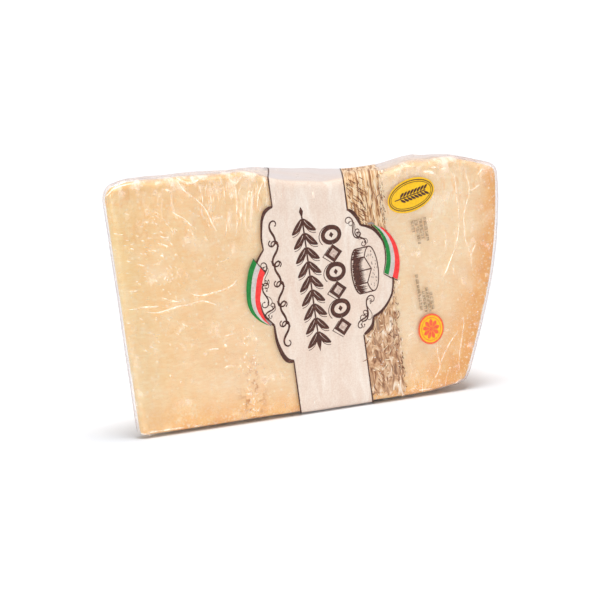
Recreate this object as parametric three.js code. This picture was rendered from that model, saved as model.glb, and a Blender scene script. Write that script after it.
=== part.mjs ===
// A vacuum-packed wedge of hard grana cheese, in millimetres, +Z up.
//
// The wedge is a sixteenth of a wheel, split through at the wheel's half height. It stands on the wheel's
// flat rind face. The printed front is one of its two radial cut faces and looks along -Y. The thin end,
// where the cut faces meet, is at -X, and the bulging rind of the wheel's side is at +X. The clear film is
// shrunk tight over it all, so the pack is one closed body in the outer form of the film.
//
// The wedge is worked out with x along the front face, y behind it and z up from the base. At the end the
// centre of its bounding box at the base is moved to the origin.

import * as THREE from "three";
import { ImprovedNoise } from "three/addons/math/ImprovedNoise.js";
import { mergeVertices } from "three/addons/utils/BufferGeometryUtils.js";

const { lerp, clamp, smoothstep, degToRad } = THREE.MathUtils;

// The cut faces
const WEDGE_ANGLE = degToRad(22.5); // sixteen wedges to a wheel
const THIN_END_LEAN = degToRad(6); // the thin end leans out towards the top
const THIN_END_AT_BASE = 0; // x of the front of the rounded thin end
const EDGE_RADIUS = 4; // every edge is worn and drawn round by the film

// The rind of the wheel's side is widest near the split, and draws in towards the base
const RIND_X = 198.5; // x of the widest level on the front face
const RIND_WIDEST_Z = 90;
const RIND_DRAWS_IN = 23; // from the widest level down to the base
const RIND_CURVE = 1.7; // exponent of that curve: 2 would be a parabola

// The base is flat, and curves up to the rim of the wheel
const RIM_LIFT = 3.4;
const RIM_WIDTH = 36;

// The split top slopes from the thin end to the middle, and falls off round at both ends
const TOP_AT_THIN_END = 114.0;
const TOP_AT_RIND = 110.8;
const TOP_SLOPE_END = 120; // x where it becomes level
const THIN_END_SHOULDER = { reach: 13, drop: 5.5 };
const RIND_SHOULDER = { reach: 26, drop: 3.4 };

// Bumps and hollows of the split top: centre (x, y), radii along x and y, and height
const TOP_BUMPS = [
  { x: 57, y: 0, rx: 10, ry: 14, height: 1.5 }, // crag at the front edge
  { x: 89, y: 2, rx: 24, ry: 24, height: -3.3 }, // hollow at the front edge
  { x: 154, y: 66, rx: 26, ry: 28, height: -4.2 }, // long hollow at the back edge
  { x: 165, y: 22, rx: 26, ry: 26, height: 2.4 }, // swelling near the rind
];

// Unevenness of the faces under tight film
const SWELL = { height: 0.5, length: 34 }; // broad swell of the cut faces and the rind
const CRAGS = { height: 0.7, length: 17 }; // crags of the split top
const PLEATS = { height: 0.5, length: 11, reach: 26 }; // upright pleats of the film below the top edge

// Grid steps between the rounded edges, and in each of them
const STEPS_ALONG = 42;
const STEPS_ACROSS = 10;
const STEPS_UP = 23;
const STEPS_AT_EDGE = 2;
const STEPS_AT_THIN_END = 3;

// The two cut planes would meet in a sharp line, the apex. The round thin end is centred a little before it.
const THIN_END_RADIUS = EDGE_RADIUS / Math.sin(WEDGE_ANGLE / 2); // from the apex to that centre
const BLUNT_RADIUS = 0.55 * THIN_END_RADIUS; // the grid starts here, just outside the round thin end
const APEX_AT_BASE = THIN_END_AT_BASE + EDGE_RADIUS - THIN_END_RADIUS * Math.cos(WEDGE_ANGLE / 2);

const noise = new ImprovedNoise();

function apexX(z) {
  return APEX_AT_BASE - Math.tan(THIN_END_LEAN) * z;
}

// A point by its distance from the apex, its angle from the front face and its height.
function polarPoint(radius, angle, z) {
  return new THREE.Vector3(apexX(z) + radius * Math.cos(angle), radius * Math.sin(angle), z);
}

// How far the rind of the wheel's side is from the apex at height z.
function rindRadius(z) {
  const drawnIn = RIND_DRAWS_IN * Math.abs((RIND_WIDEST_Z - z) / RIND_WIDEST_Z) ** RIND_CURVE;
  return RIND_X - drawnIn - apexX(z);
}

// Height of the wheel's flat face at a distance inside the rind.
function baseHeight(insideRind) {
  return RIM_LIFT * Math.max(0, 1 - insideRind / RIM_WIDTH) ** 2;
}

// How far the top has fallen at a distance from one of its ends.
function shoulderDrop({ reach, drop }, fromEnd) {
  return drop * Math.max(0, 1 - fromEnd / reach) ** 2;
}

// Height of the split top over the point (x, y), which is some distance from the thin end and from the rind.
function topHeight(x, y, fromThinEnd, fromRind) {
  let height = lerp(TOP_AT_THIN_END, TOP_AT_RIND, smoothstep(x, 0, TOP_SLOPE_END));
  for (const bump of TOP_BUMPS) {
    const away = ((x - bump.x) / bump.rx) ** 2 + ((y - bump.y) / bump.ry) ** 2;
    height += bump.height * Math.exp(-away);
  }
  const drop = shoulderDrop(THIN_END_SHOULDER, fromThinEnd) + shoulderDrop(RIND_SHOULDER, fromRind);
  const crags = CRAGS.height * noise.noise(x / CRAGS.length, y / CRAGS.length, 0.7);
  return height - drop + crags;
}

// How far the tight film stands out from the plain face (or, below zero, is drawn in).
function relief(at, outward, top) {
  const upright = 1 - Math.abs(outward.z);
  const face = outward.y; // about -1 on the front, 1 on the back and 0 on the rind
  const swell = noise.noise(at.x / SWELL.length, at.z / SWELL.length, 2.3 * face + 0.4);
  const leaning = at.x / PLEATS.length + 0.3 * Math.sin(at.z / PLEATS.length);
  const pleats = noise.noise(leaning, at.z / (4 * PLEATS.length), 3.1 * face + 0.3);
  const nearTop = smoothstep(at.z, top - PLEATS.reach, top - 2 * EDGE_RADIUS);
  return upright * (SWELL.height * swell + PLEATS.height * pleats * nearTop);
}

// The grid value at a share t of all steps from low to high. A band at either end, of a given width, has its
// own number of steps, and the steps between the bands are even.
function gridValue(t, steps, low, high, lowBand, highBand) {
  const step = Math.round(t * (lowBand.steps + steps + highBand.steps));
  const fromHigh = lowBand.steps + steps + highBand.steps - step;
  if (step < lowBand.steps) return low + (lowBand.width * step) / lowBand.steps;
  if (fromHigh < highBand.steps) return high - (highBand.width * fromHigh) / highBand.steps;
  return lerp(low + lowBand.width, high - highBand.width, (step - lowBand.steps) / steps);
}

// The surface point for a place in the unit box, with u from thin end to rind, v from front to back and w
// upwards. The box is bent to the sharp wedge, and then each point is drawn in to the rounded edges.
function wedgePoint(u, v, w) {
  const edgeBand = { width: EDGE_RADIUS, steps: STEPS_AT_EDGE };
  const thinBand = { width: THIN_END_RADIUS - BLUNT_RADIUS, steps: STEPS_AT_THIN_END };

  const level = w * TOP_AT_RIND; // near enough to find the point's radius and angle
  const reach = rindRadius(level);
  const radiusAtLevel = gridValue(u, STEPS_ALONG, BLUNT_RADIUS, reach, thinBand, edgeBand);
  const angleBand = { width: EDGE_RADIUS / reach, steps: STEPS_AT_EDGE };
  const angle = gridValue(v, STEPS_ACROSS, 0, WEDGE_ANGLE, angleBand, angleBand);

  const over = polarPoint(radiusAtLevel, angle, level);
  const base = baseHeight(reach - radiusAtLevel);
  const top = topHeight(over.x, over.y, radiusAtLevel - BLUNT_RADIUS, reach - radiusAtLevel);
  const z = gridValue(w, STEPS_UP, base, top, edgeBand, edgeBand);
  const rind = rindRadius(z);
  const share = (radiusAtLevel - BLUNT_RADIUS) / (reach - BLUNT_RADIUS);
  const radius = lerp(BLUNT_RADIUS, rind, share);

  // The nearest point that lies an edge radius inside every face
  const innerRadius = clamp(radius, THIN_END_RADIUS, rind - EDGE_RADIUS);
  const least = Math.asin(EDGE_RADIUS / innerRadius);
  const innerAngle = clamp(angle, least, Math.max(least, WEDGE_ANGLE - least));
  const innerZ = clamp(z, base + EDGE_RADIUS, top - EDGE_RADIUS);
  const inner = polarPoint(innerRadius, innerAngle, innerZ);
  const outward = polarPoint(radius, angle, z).sub(inner).normalize();
  return inner.addScaledVector(outward, EDGE_RADIUS + relief(inner, outward, top));
}

// The film's body: a box of grid lines whose every vertex is moved to the wedge.
function wrappedWedge() {
  const along = STEPS_AT_THIN_END + STEPS_ALONG + STEPS_AT_EDGE;
  const across = STEPS_ACROSS + 2 * STEPS_AT_EDGE;
  const up = STEPS_UP + 2 * STEPS_AT_EDGE;
  const box = new THREE.BoxGeometry(1, 1, 1, along, across, up);
  const position = box.getAttribute("position");
  for (let i = 0; i < position.count; i++) {
    const place = new THREE.Vector3().fromBufferAttribute(position, i).addScalar(0.5);
    const { x, y, z } = wedgePoint(place.x, place.y, place.z);
    position.setXYZ(i, x, y, z);
  }
  box.deleteAttribute("normal");
  box.deleteAttribute("uv");
  const body = mergeVertices(box, 1e-3);
  body.computeVertexNormals();
  return body;
}

const cheeseUnderFilm = new THREE.MeshStandardMaterial({
  name: "cheese_under_film",
  color: 0xf5d3a6, // straw-coloured cheese seen through clear film
  roughness: 0.25,
  metalness: 0,
});

const pack = new THREE.Mesh(wrappedWedge(), cheeseUnderFilm);
pack.name = "wrapped_cheese_wedge";

pack.geometry.computeBoundingBox();
const { min, max } = pack.geometry.boundingBox;
pack.position.set(-(min.x + max.x) / 2, -(min.y + max.y) / 2, -min.z);

const part = new THREE.Group();
part.add(pack);

export default part;
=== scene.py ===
import math
import random

import bpy
import numpy as np
from mathutils import Matrix, Quaternion, Vector, noise
from mathutils.bvhtree import BVHTree


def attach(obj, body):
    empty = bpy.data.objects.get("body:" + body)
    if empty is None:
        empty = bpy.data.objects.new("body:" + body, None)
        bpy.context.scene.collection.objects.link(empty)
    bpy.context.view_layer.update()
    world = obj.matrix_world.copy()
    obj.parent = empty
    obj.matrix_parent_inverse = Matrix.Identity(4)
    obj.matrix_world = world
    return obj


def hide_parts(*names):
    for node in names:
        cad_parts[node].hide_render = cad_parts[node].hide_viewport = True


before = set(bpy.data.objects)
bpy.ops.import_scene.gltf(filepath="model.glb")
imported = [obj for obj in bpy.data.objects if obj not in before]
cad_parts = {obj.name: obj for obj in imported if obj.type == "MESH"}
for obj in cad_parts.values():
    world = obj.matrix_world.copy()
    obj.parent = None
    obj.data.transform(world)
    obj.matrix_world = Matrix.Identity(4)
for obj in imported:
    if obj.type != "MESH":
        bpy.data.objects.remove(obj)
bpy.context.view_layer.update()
bpy.ops.object.select_all(action="DESELECT")
scene = bpy.context.scene
MM = 0.001


# The camera stands a little above the pack, off towards its thin end, with a long lens. It is turned
# slightly about its own line of sight, so that the pack leans in the picture as it does in the photo.
AIM = Vector((0.01028, -0.00605, 0.04784))
AZIMUTH, ELEVATION, TURN = math.radians(-30.5), math.radians(7.9), math.radians(-2.0)
DISTANCE = 0.8644

to_camera = Vector((
    math.sin(AZIMUTH) * math.cos(ELEVATION),
    -math.cos(AZIMUTH) * math.cos(ELEVATION),
    math.sin(ELEVATION),
))
bpy.ops.object.camera_add(location=AIM + to_camera * DISTANCE)
camera = bpy.context.object
camera.name = "camera"
camera.rotation_mode = "QUATERNION"
camera.rotation_quaternion = (-to_camera).to_track_quat("-Z", "Y") @ Quaternion((0, 0, 1), TURN)
camera.data.lens = 108
camera.data.sensor_width = 36
camera.data.clip_start, camera.data.clip_end = 0.01, 100
scene.camera = camera
scene.view_settings.view_transform = "Standard"


def linear(hex_colour):
    """An sRGB hex colour as the linear values that Blender's sockets take."""
    channels = [int(hex_colour[i:i + 2], 16) / 255 for i in (1, 3, 5)]
    return (*[c / 12.92 if c <= 0.04045 else ((c + 0.055) / 1.055) ** 2.4 for c in channels], 1.0)


def lumps(size):
    """The scale of a pattern whose lumps are about a size in mm."""
    return 1 / (size * MM)


def bare(owner):
    """A new material or world, without the nodes that it comes with."""
    owner.use_nodes = True
    owner.node_tree.nodes.clear()
    return owner


def add(material, kind, inputs=None, stops=()):
    """Adds a node. An input is a property, a socket's value, or a node or socket that is linked to it. A
    colour ramp also has stops, each a position and a hex colour."""
    made = material.node_tree.nodes.new("ShaderNode" + kind)
    for name, value in (inputs or {}).items():
        if isinstance(value, bpy.types.Node):
            value = next(output for output in value.outputs if output.enabled)
        if isinstance(value, bpy.types.NodeSocket):
            material.node_tree.links.new(value, made.inputs[name])
        elif isinstance(name, str) and hasattr(made, name):
            setattr(made, name, value)
        else:
            made.inputs[name].default_value = value
    if stops:
        elements = made.color_ramp.elements
        while len(elements) < len(stops):
            elements.new(0.5)
        for element, (position, colour) in zip(elements, stops):
            element.position, element.color = position, linear(colour)
    return made


# The floor is a white matt table top, wide enough that its far edge is lost in the white room. It is
# painted board, with the faint unevenness of a rolled coat.
FLOOR_RADIUS = 14.0

bpy.ops.mesh.primitive_circle_add(vertices=96, radius=FLOOR_RADIUS, fill_type="NGON")
floor = bpy.context.object
floor.name = "floor"
board = bare(bpy.data.materials.new("white_painted_board"))
place = add(board, "TexCoord").outputs["Object"]
coat = add(board, "TexNoise", {"Scale": lumps(166.7), "Detail": 2.0, "Vector": place})
board_tone = add(board, "ValToRGB", {"Fac": coat}, [(0.3, "#eaecf0"), (0.7, "#edeff2")])
paint = add(board, "BsdfPrincipled", {"Base Color": board_tone, "Roughness": 0.9, "Specular IOR Level": 0.1})
add(board, "OutputMaterial", {"Surface": paint})
floor.data.materials.append(board)


# The light is a white room, dimmer on the camera's side and overhead. A broad lamp overhead whitens the floor
# and keeps the pack's shadow close to it, and a low lamp in front on the left lights the printed face.
ROOM_BEHIND, ROOM_IN_FRONT = 1.10, 0.24
ROOM_OVERHEAD = 0.35  # as a share of the room's level near the horizon

world = bare(bpy.data.worlds.new("white_room"))
sight = add(world, "TexCoord").outputs["Generated"]
depth = add(world, "VectorMath", {"operation": "DOT_PRODUCT", 0: sight, 1: (-to_camera.x, -to_camera.y, 0.0)})
strength = add(world, "MapRange", {
    "interpolation_type": "SMOOTHSTEP", "From Min": -0.7, "From Max": 0.4,
    "To Min": ROOM_IN_FRONT, "To Max": ROOM_BEHIND, "Value": depth,
})
level = add(world, "SeparateXYZ", {"Vector": sight}).outputs["Z"]
overhead = add(world, "MapRange", {
    "interpolation_type": "SMOOTHSTEP", "From Min": 0.14, "From Max": 0.42,
    "To Min": 1.0, "To Max": ROOM_OVERHEAD, "Value": level,
})
strength = add(world, "Math", {"operation": "MULTIPLY", 0: strength, 1: overhead})
room = add(world, "Background", {"Color": (1.0, 1.0, 1.0, 1.0), "Strength": strength})
add(world, "OutputWorld", {"Surface": room})
scene.world = world


def sun_lamp(name, place, strength, spread):
    """A soft lamp, far off in the direction of a place."""
    bpy.ops.object.light_add(type="SUN", location=place)
    lamp = bpy.context.object
    lamp.name = name
    lamp.data.energy, lamp.data.angle = strength, math.radians(spread)
    lamp.rotation_mode = "QUATERNION"
    lamp.rotation_quaternion = (AIM - Vector(place)).to_track_quat("-Z", "Y")


sun_lamp("broad_lamp_overhead", (0.0, -0.14, 1.25), 2.85, 28)
sun_lamp("low_lamp_left", (-0.95, -1.10, 0.30), 1.36, 16)


# The form is the pack's outer shape, taken from the CAD solid and rounded off between its faces. The
# cheese, the print and the film are all made from it or pressed onto it, and it goes at the end.
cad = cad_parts["wrapped_cheese_wedge"]


def only(piece):
    """Makes a piece the one that the operators act on."""
    bpy.ops.object.select_all(action="DESELECT")
    piece.select_set(True)
    bpy.context.view_layer.objects.active = piece


def edit(piece):
    """Opens a piece for editing, with all of it selected."""
    only(piece)
    bpy.ops.object.mode_set(mode="EDIT")
    bpy.ops.mesh.select_all(action="SELECT")


def copy_of(piece, name):
    """A copy of a piece with its own mesh, for the operators to act on."""
    made = bpy.data.objects.new(name, piece.data.copy())
    made.data.name = name
    made.data.materials.clear()
    scene.collection.objects.link(made)
    only(made)
    return made


form = copy_of(cad, "form")
edit(form)
bpy.ops.mesh.remove_doubles(threshold=1.1 * MM)  # the grid's lines crowd together round the thin end
bpy.ops.mesh.tris_convert_to_quads(face_threshold=math.radians(60), shape_threshold=math.radians(70))
bpy.ops.object.mode_set(mode="OBJECT")
rounding = form.modifiers.new("rounding", "SUBSURF")
rounding.levels = rounding.render_levels = 2
bpy.ops.object.modifier_apply(modifier=rounding.name)
bpy.ops.object.shade_smooth()

FILM_GAP = 0.40 * MM  # the film's outer face, which the CAD solid stands for, lies this far outside the form
edit(form)
bpy.ops.transform.shrink_fatten(value=-FILM_GAP)
bpy.ops.object.mode_set(mode="OBJECT")

# Crags of the split top, in mm above or below the plainer top of the solid. They run in lines straight back
# from the camera, and each is given by how far to the camera's right it is.
TOP_CRAGS = [
    (-71, -1.2), (-66, -0.9), (-61, 0.3), (-50, 0.3), (-40, 0.7), (-30, 0.8), (-22, 1.1), (-12, 1.6),
    (-6, 1.5), (0, 0.7), (10, -0.1), (18, -0.4), (24, -1.2), (34, -1.1), (44, -0.8), (52, -0.5), (58, 0.6),
    (63, 1.6), (68, 2.0), (73, 1.4), (78, 1.8), (85, 2.3), (92, 1.7), (98, 1.1), (104, 1.0), (110, 1.3),
    (118, 1.3),
]
CRAGS_FROM, CRAGS_FULL = 88 * MM, 107 * MM  # they fade in between these heights


def vertex_arrays(piece):
    """The places and normals of a piece's vertices."""
    count = len(piece.data.vertices)
    places, normals = np.empty(count * 3), np.empty(count * 3, np.float32)
    piece.data.vertices.foreach_get("co", places)
    piece.data.vertex_normals.foreach_get("vector", normals)
    return places.reshape(-1, 3), normals.reshape(-1, 3).astype(float)


def move_vertices(piece, places):
    piece.data.vertices.foreach_set("co", places.ravel())
    piece.data.update()


def noise_at(places, size, seed):
    """Smooth noise, about -1 to 1, with lumps of a given size."""
    offset = Vector((seed * 7.31, seed * 3.17, seed * 5.23))
    return np.array([noise.noise(Vector(p) / size + offset) for p in places])


def eased(values, low, high):
    """0 below the low value, 1 above the high one, and smooth between them."""
    share = np.clip((values - low) / (high - low), 0, 1)
    return share * share * (3 - 2 * share)


places = vertex_arrays(form)[0]
rightward = (places @ [-to_camera.y, to_camera.x, 0]) / MM
crags = np.interp(rightward, *zip(*TOP_CRAGS)) * eased(places[:, 2], CRAGS_FROM, CRAGS_FULL)
places[:, 2] += crags * MM
move_vertices(form, places)


# The cheese is a wedge of hard straw-coloured paste, with a paler thin end, a darker zone under the rind and
# along the base, and white grains. It was cut with a wire, and it lies a little inside the tight film.
FRONT_Y = -42.1 * MM
THIN_END_AT_BASE, THIN_END_LEAN = -95.1 * MM, math.tan(math.radians(6))
RIND_WIDEST, RIND_WIDEST_Z, RIND_DRAWS_IN, RIND_CURVE = 103.4 * MM, 90 * MM, 23 * MM, 1.7
PACK_HEIGHT = 114 * MM
INSET, TOP_INSET, RIND_INSET, THIN_END_INSET, FOOT_INSET = 0.45, 0.5, 1.7, 0.25, 0.6  # mm inside the form
BREAK_AT, BREAK_RADII = (-37, 12), (6, 15)  # (x, z) in mm of a patch where crumbs broke off

cheese = copy_of(form, "cheese")
places, normals = vertex_arrays(cheese)
upward = np.clip(normals[:, 2], 0, 1)
rindward, thinward = np.clip(normals[:, 0] - 0.35, 0, 1), np.clip(-normals[:, 0] - 0.35, 0, 1)
crumbling = 0.15 * noise_at(places, 2.2 * MM, 1) + 0.3 * noise_at(places, 5 * MM, 2)
to_foot = eased(-places[:, 2], -70 * MM, -20 * MM)
drawn_in = (
    INSET + 0.12 * (1 + noise_at(places, 9 * MM, 3)) + upward * (TOP_INSET + crumbling)
    + RIND_INSET * rindward + thinward * (THIN_END_INSET + FOOT_INSET * to_foot)
)
move_vertices(cheese, places - normals * drawn_in[:, None] * MM)

x, y, z = places.T
from_thin_end = x - (THIN_END_AT_BASE - THIN_END_LEAN * z)
rind_x = RIND_WIDEST - RIND_DRAWS_IN * (np.abs(RIND_WIDEST_Z - z) / RIND_WIDEST_Z) ** RIND_CURVE
from_rind = rind_x - THIN_END_AT_BASE - np.hypot(x - THIN_END_AT_BASE, y - FRONT_Y)
low = np.clip(1 - z / PACK_HEIGHT, 0, 1)
side_reach = (8.5 + 15 * low ** 1.5 + 2.5 * noise_at(places, 12 * MM, 4)) * MM
base_reach = (11 + 4 * noise_at(places, 16 * MM, 5) + 4 * eased(x, 30 * MM, 80 * MM)) * MM
under_side = np.exp(-(np.clip(from_rind, 0, None) / side_reach) ** 2)
under_base = 0.9 * np.exp(-(z / base_reach) ** 2) * (0.45 + 0.55 * eased(from_thin_end, 0, 30 * MM))
off_break = ((x / MM - BREAK_AT[0]) / BREAK_RADII[0]) ** 2 + ((z / MM - BREAK_AT[1]) / BREAK_RADII[1]) ** 2
zones = {
    "from_thin_end": from_thin_end, "under_rind": 1 - (1 - under_side) * (1 - under_base), "height": z,
    "deep_paste_and_side_shade": under_side, "broken_off": (normals[:, 1] < 0) * np.exp(-off_break),
}


def store(piece, name, values):
    """Keeps a value for each vertex of a piece, for its material to read."""
    piece.data.attributes.new(name, "FLOAT", "POINT").data.foreach_set("value", values.astype(np.float32))


for name, values in zones.items():
    store(cheese, name, values)

# Hard grana paste, wire-cut: dull, slightly see-through, straw with paler clouds, white grains and fine level
# marks of the wire. The thin end is paler: yellow at the top and white at the foot. Painted shade darkens the
# top edge of the front, and also the side by the rind, together with the deeper paste there.
paste = bare(bpy.data.materials.new("hard_grana_paste"))
place = add(paste, "TexCoord").outputs["Object"]
inward = add(paste, "SeparateXYZ", {"Vector": place}).outputs["Y"]
zone = {name: add(paste, "Attribute", {"attribute_name": name}).outputs["Fac"] for name in zones}
height = zone["height"]

along = add(paste, "MapRange", {"From Max": 200 * MM, "Value": zone["from_thin_end"]})
straw_low = add(paste, "ValToRGB", {"Fac": along}, [
    (0.0, "#e0cba4"), (0.035, "#ead0a0"), (0.09, "#f8d6a2"), (0.25, "#f8d5aa"), (0.38, "#f7ddb9"),
    (0.6, "#f5dab8"), (1.0, "#f3d4aa"),
])
straw_high = add(paste, "ValToRGB", {"Fac": along}, [
    (0.0, "#e2c88e"), (0.03, "#eccd8e"), (0.08, "#f7d094"), (0.25, "#f6d19e"), (0.38, "#f6dcb3"),
    (0.6, "#f6e1c2"), (1.0, "#f5dfbc"),
])
upper, high_up = (
    add(paste, "MapRange", {
        "interpolation_type": "SMOOTHSTEP", "From Min": low * MM, "From Max": high * MM, "Value": height,
    })
    for low, high in ((30, 80), (60, 105))
)
at_front = add(paste, "MapRange", {
    "From Min": -41 * MM, "From Max": -33 * MM, "To Min": 1.0, "To Max": 0.3, "Value": inward,
})

clouds, ragged, crumbs, flecks, pale = (
    add(paste, "TexNoise", {"Scale": lumps(size), "Detail": detail, "Roughness": roughness, "Vector": place})
    for size, detail, roughness in (
        (13.33, 4.0, 0.62), (7.692, 4.0, 0.65), (3.333, 4.0, 0.65), (1.282, 3.0, 0.7), (16.13, 1.0, 0.5),
    )
)
level_place = add(paste, "Mapping", {"Scale": (1.0, 1.0, 3.2), "Rotation": (0, 0.1, 0), "Vector": place})
dashes = add(paste, "TexNoise", {
    "Scale": lumps(4.167), "Detail": 3.0, "Roughness": 0.7, "Vector": level_place,
})
dark_streak_place = add(paste, "Mapping", {"Scale": (1.0, 1.0, 0.4), "Rotation": (0, 0.3, 0), "Vector": place})
dark_upright_streaks = add(paste, "TexNoise", {
    "Scale": lumps(4.167), "Detail": 3.0, "Roughness": 0.6, "Distortion": 1.0, "Vector": dark_streak_place,
})
grains = add(paste, "TexVoronoi", {"Scale": lumps(3.846), "Randomness": 1.0, "Vector": place})
cloud_tone, dash_tone, rind_tone = (
    add(paste, "ValToRGB", {"Fac": pattern}, stops)
    for pattern, stops in (
        (clouds, [(0.3, "#eeb873"), (0.46, "#f3c88e"), (0.56, "#f5d5a6"), (0.7, "#fceed6")]),
        (dashes, [(0.33, "#ecb06a"), (0.5, "#f4cd98"), (0.66, "#fff4df")]),
        (ragged, [(0.33, "#ea9c48"), (0.47, "#f2b466"), (0.6, "#f8ca88"), (0.74, "#feeaca")]),
    )
)

# Tones are laid over the straw one by one. As its pattern goes from a low value to a high one, a tone's share
# goes from the first to the last, and it is laid only where the zone at the end of its line says.
tone = add(paste, "Mix", {"data_type": "RGBA", "Factor": upper, 6: straw_low, 7: straw_high})
for colour, pattern, (low, high), (first, last), where in (
    (cloud_tone, clouds, (0, 1), (0.3, 0.3), 1.0),
    (dash_tone, dashes, (0, 1), (0.2, 0.2), 1.0),
    (rind_tone, ragged, (0.25, 0.6), (0.7, 1.15), zone["under_rind"]),
    # deeper paste by the rind, and painted shade where the face turns away from the lamps towards the rind
    (linear("#e09646"), zone["deep_paste_and_side_shade"], (0, 1), (0, 0.5), 1.0),
    (linear("#c0752f"), crumbs, (0.5, 0.62), (0, 0.9), zone["broken_off"]),
    (linear("#fbeed8"), grains, (0.05, 0.2), (0.6, 0), 1.0),
    (linear("#fff3de"), flecks, (0.55, 0.68), (0, 0.8), zone["under_rind"]),
    # painted shade: the top edge of the front is darkened, against the overhead lamp's light on its rounding
    (linear("#dcb684"), height, (104 * MM, 112 * MM), (0, 0.6), at_front),
    # darker upright streaks in the paste, high up near the top
    (linear("#ecb676"), dark_upright_streaks, (0.34, 0.46), (0.6, 0), high_up),
    (linear("#fff2da"), pale, (0.62, 0.78), (0, 0.3), 1.0),
):
    share = add(paste, "MapRange", {
        "From Min": low, "From Max": high, "To Min": first, "To Max": last, "Value": pattern,
    })
    share = add(paste, "Math", {"operation": "MULTIPLY", 0: share, 1: where})
    tone = add(paste, "Mix", {"data_type": "RGBA", "Factor": share, 6: tone, 7: colour})

wire_place = add(paste, "Mapping", {"Scale": (lumps(83.33), lumps(83.33), lumps(3.125)), "Vector": place})
wire = add(paste, "TexNoise", {"Scale": 1.0, "Detail": 2.0, "Distortion": 0.4, "Vector": wire_place})
wire_bump = add(paste, "Bump", {"Strength": 0.25, "Distance": 0.3 * MM, "Height": wire})
paste_bump = add(paste, "Bump", {
    "Strength": 0.3, "Distance": 0.3 * MM, "Height": ragged, "Normal": wire_bump,
})
flesh = add(paste, "BsdfPrincipled", {
    "Roughness": 0.55, "IOR": 1.45, "Subsurface Weight": 0.12, "Subsurface Radius": (1.0, 0.6, 0.3),
    "Subsurface Scale": 3 * MM, "Base Color": tone, "Normal": paste_bump,
})
add(paste, "OutputMaterial", {"Surface": flesh})


def finish(piece, material):
    """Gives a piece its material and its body."""
    piece.data.materials.append(material)
    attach(piece, "root")


finish(cheese, paste)


# The film is clear shrink film, a tenth of a millimetre thick, drawn tight round the wedge. It stands off in
# fine pleats below the top edge and in a crumpled patch left of the band. Its print is on its outer face.
BASE_GAP = 0.25 * MM  # the film lies closer under the base, so that it doesn't go through the floor
PLEATS, CRUMPLES, SWELL = 0.35, 0.45, 0.12  # how far they stand out, in mm
CRUMPLED_AT, CRUMPLED_RADII = (-38, 22), (7, 20)  # (x, z) in mm

film = copy_of(form, "clear_film")
places, normals = vertex_arrays(film)
x, z = places[:, 0] / MM, places[:, 2] / MM
below_top = np.clip((z - 80) / 25, 0, 1) * (1 - np.abs(normals[:, 2]))
pleats = below_top * np.clip(noise_at(places * [1, 1, 0.16], 3.2 * MM, 11), 0, 1)
off_patch = ((x - CRUMPLED_AT[0]) / CRUMPLED_RADII[0]) ** 2 + ((z - CRUMPLED_AT[1]) / CRUMPLED_RADII[1]) ** 2
crumples = np.exp(-off_patch) * np.clip(noise_at(places * [1, 1, 0.6], 2.4 * MM, 12), 0, 1)
swell = np.clip(noise_at(places, 12 * MM, 13) + 0.2, 0, 1)
off_base = np.clip(1 + 1.5 * normals[:, 2], 0, 1)
raised = (FILM_GAP - BASE_GAP) + MM * (PLEATS * pleats + CRUMPLES * crumples + SWELL * swell)
move_vertices(film, places + normals * (BASE_GAP + off_base * raised)[:, None])

# Clear polyethylene, blown and shrunk: see-through and glossy. It is milky where it isn't drawn onto the
# cheese, in upright streaks below the top edge and in small clouds, and where it is seen along its face.
clear = bare(bpy.data.materials.new("clear_shrink_film"))
place = add(clear, "TexCoord").outputs["Object"]
spot = add(clear, "SeparateXYZ", {"Vector": place}).outputs
wide = add(clear, "TexNoise", {"Scale": lumps(18.18), "Detail": 2.0, "Distortion": 1.2, "Vector": place})
fine_place = add(clear, "Mapping", {"Scale": (1.0, 1.0, 0.45), "Rotation": (0, 0.12, 0), "Vector": place})
fine = add(clear, "TexNoise", {
    "noise_type": "RIDGED_MULTIFRACTAL", "Scale": lumps(5.882), "Detail": 3.0, "Roughness": 0.5,
    "Offset": 1.0, "Gain": 1.6, "Vector": fine_place,
})
streak_place = add(clear, "Mapping", {"Scale": (1.0, 1.0, 0.3), "Rotation": (0, 0.15, 0), "Vector": place})
streaks = add(clear, "TexNoise", {
    "Scale": lumps(4.348), "Detail": 3.0, "Roughness": 0.55, "Distortion": 0.9, "Vector": streak_place,
})
clouds = add(clear, "TexNoise", {"Scale": lumps(8.333), "Detail": 4.0, "Roughness": 0.6, "Vector": place})

near_top = add(clear, "MapRange", {
    "interpolation_type": "SMOOTHSTEP", "From Min": 75 * MM, "From Max": 112 * MM, "Value": spot["Z"],
})
for low, high, least in ((40, 0, 0.35), (-84, -60, 0.2)):  # it is tighter near the rind and the thin end
    looser = add(clear, "MapRange", {
        "From Min": low * MM, "From Max": high * MM, "To Min": least, "Value": spot["X"],
    })
    near_top = add(clear, "Math", {"operation": "MULTIPLY", 0: near_top, 1: looser})
at_front = add(clear, "MapRange", {
    "From Min": -41 * MM, "From Max": -33 * MM, "To Min": 1.0, "To Max": 0.25, "Value": spot["Y"],
})
at_rim = add(clear, "MapRange", {"From Min": 104 * MM, "From Max": 112 * MM, "Value": spot["Z"]})
at_rim = add(clear, "Math", {"operation": "MULTIPLY", 0: at_rim, 1: at_front})
milk = 0.0
for pattern, low, high, most, where in (
    (streaks, 0.54, 0.7, 0.7, near_top), (clouds, 0.58, 0.76, 0.4, 1.0), (fine, 1.1, 2.4, 0.08, 1.0),
    (clouds, 0.46, 0.62, 0.6, at_rim),
):
    share = add(clear, "MapRange", {"From Min": low, "From Max": high, "To Max": most, "Value": pattern})
    share = add(clear, "Math", {"operation": "MULTIPLY", 0: share, 1: where})
    milk = add(clear, "Math", {"operation": "MAXIMUM", 0: milk, 1: share})

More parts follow.
